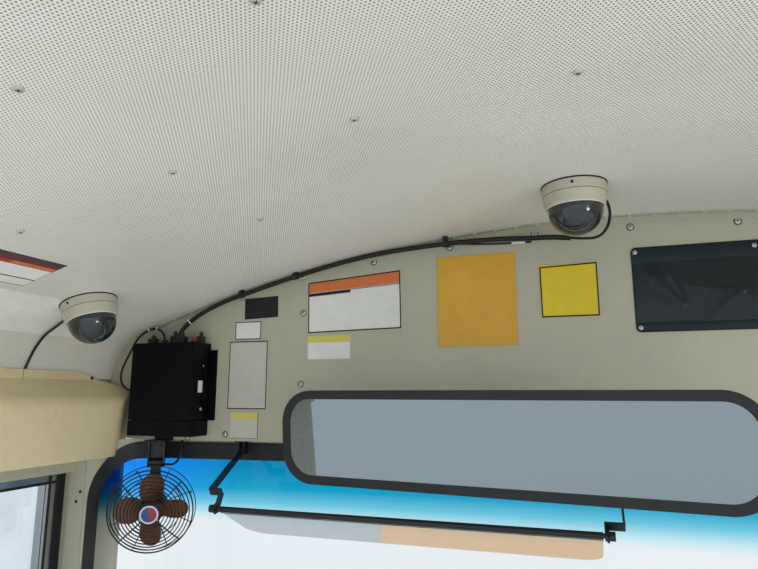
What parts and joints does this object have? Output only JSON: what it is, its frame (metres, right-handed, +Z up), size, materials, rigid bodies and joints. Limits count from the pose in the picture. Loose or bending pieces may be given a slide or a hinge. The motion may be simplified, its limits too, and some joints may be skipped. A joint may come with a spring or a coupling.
{
  "type": "school bus front overhead section",
  "caption": "Front overhead section of a school bus: windshield, header, perforated headliner, mirror, sun visor, fan, dome cameras and recorder.",
  "frame": {"origin": "underside of the cowl rail, on the middle plane of the bus, at the windshield's outer face", "axes": "+Y forward through the windshield, +X to the entrance door side, +Z up"},
  "size_m": [2.462, 1.061, 1.422],
  "materials": {
    "amber_lens": "gloss",
    "amber_plastic": "gloss",
    "badge_plastic": "gloss",
    "beige_plastic": "matte",
    "black_plastic": "satin",
    "black_rubber": "matte",
    "black_steel": "satin",
    "cable_black": "satin",
    "camera_cream": "satin",
    "clear_glass": "clear",
    "cream_paint": "satin",
    "dome_black": "gloss",
    "gold_plate": "satin",
    "green_vinyl": "satin",
    "mirror_face": "polished",
    "perforated_liner": "satin",
    "recorder_black": "satin",
    "red_lens": "gloss",
    "smoked_sheet": "clear",
    "tan_sheet": "clear",
    "window_aluminium": "satin",
    "yellow_paint": "gloss",
    "yellow_plate": "satin"
  },
  "bodies": {
    "root": {"roof_skin": "yellow_paint", "front_cap": "yellow_paint", "headliner_panel": "perforated_liner", "header_panel": "cream_paint", "header_seam_strip": "cream_paint", "windshield_glass": "clear_glass", "windshield_gasket": "black_rubber", "windshield_frame": "yellow_paint", "windshield_trim": "cream_paint", "cowl_rail": "yellow_paint", "a_pillar_left": "yellow_paint", "a_pillar_right": "yellow_paint", "a_pillar_cover_left": "cream_paint", "a_pillar_cover_right": "cream_paint", "side_cover_left": "beige_plastic", "side_cover_right": "beige_plastic", "driver_side_wall": "yellow_paint", "door_side_wall": "yellow_paint", "driver_window_frame": "window_aluminium", "driver_window_panes": "clear_glass", "lamp_boards": "black_plastic", "warning_lamps_amber": "amber_lens", "warning_lamps_red": "red_lens", "marker_lamps": "amber_lens", "drip_rails": "yellow_paint", "mirror_brackets": "black_steel", "visor_brackets": "black_steel", "fan_bracket": "black_steel", "recorder_body": "recorder_black", "recorder_flap": "recorder_black", "recorder_bracket": "recorder_black", "document_pouch": "green_vinyl", "rules_plate": "gold_plate", "notice_plate": "yellow_plate", "main_harness": "cable_black", "window_head_strip": "cream_paint", "harness_clips": "black_plastic", "camera_leads": "cable_black", "device_leads": "cable_black", "camera_left_base": "camera_cream", "camera_left_shell": "camera_cream", "camera_left_dome": "dome_black", "camera_left_eye": "dome_black", "camera_right_base": "camera_cream", "camera_right_shell": "camera_cream", "camera_right_dome": "dome_black", "camera_right_eye": "dome_black"},
    "mirror": {"mirror_housing": "black_plastic", "mirror_rim": "black_rubber", "mirror_glass": "mirror_face"},
    "visor_arms": {"visor_arms": "black_steel", "visor_rod": "black_steel"},
    "visor_panel": {"visor_clamp": "black_plastic", "visor_smoked_panel": "smoked_sheet", "visor_tinted_panel": "tan_sheet"},
    "fan_head": {"fan_guard": "black_steel", "fan_badge": "badge_plastic", "fan_motor": "black_steel"},
    "fan_rotor": {"fan_rotor": "amber_plastic"}
  },
  "joints": [
    {"name": "mirror_tilt", "type": "hinge", "parent": "root", "child": "mirror", "pos_m": [-0.2021, -0.27637, 0.96461], "axis": [0.9914, -0.1305, 0], "range_deg": [-12, 12]},
    {"name": "visor_arm_swing", "type": "hinge", "parent": "root", "child": "visor_arms", "pos_m": [-0.3995, -0.073, 0.914], "axis": [1, 0, 0], "range_deg": [-14, 4]},
    {"name": "visor_tilt", "type": "hinge", "parent": "visor_arms", "child": "visor_panel", "pos_m": [-0.3995, -0.207, 0.813], "axis": [1, 0, 0], "range_deg": [-80, 50]},
    {"name": "fan_tilt", "type": "hinge", "parent": "root", "child": "fan_head", "pos_m": [-0.98451, -0.11362, 0.884], "axis": [0.8619, 0.507, 0], "range_deg": [-25, 10]},
    {"name": "fan_spin", "type": "hinge", "parent": "fan_head", "child": "fan_rotor", "pos_m": [-0.969, -0.14, 0.788], "axis": [0.5005, -0.8508, -0.1602], "continuous": true}
  ]
}
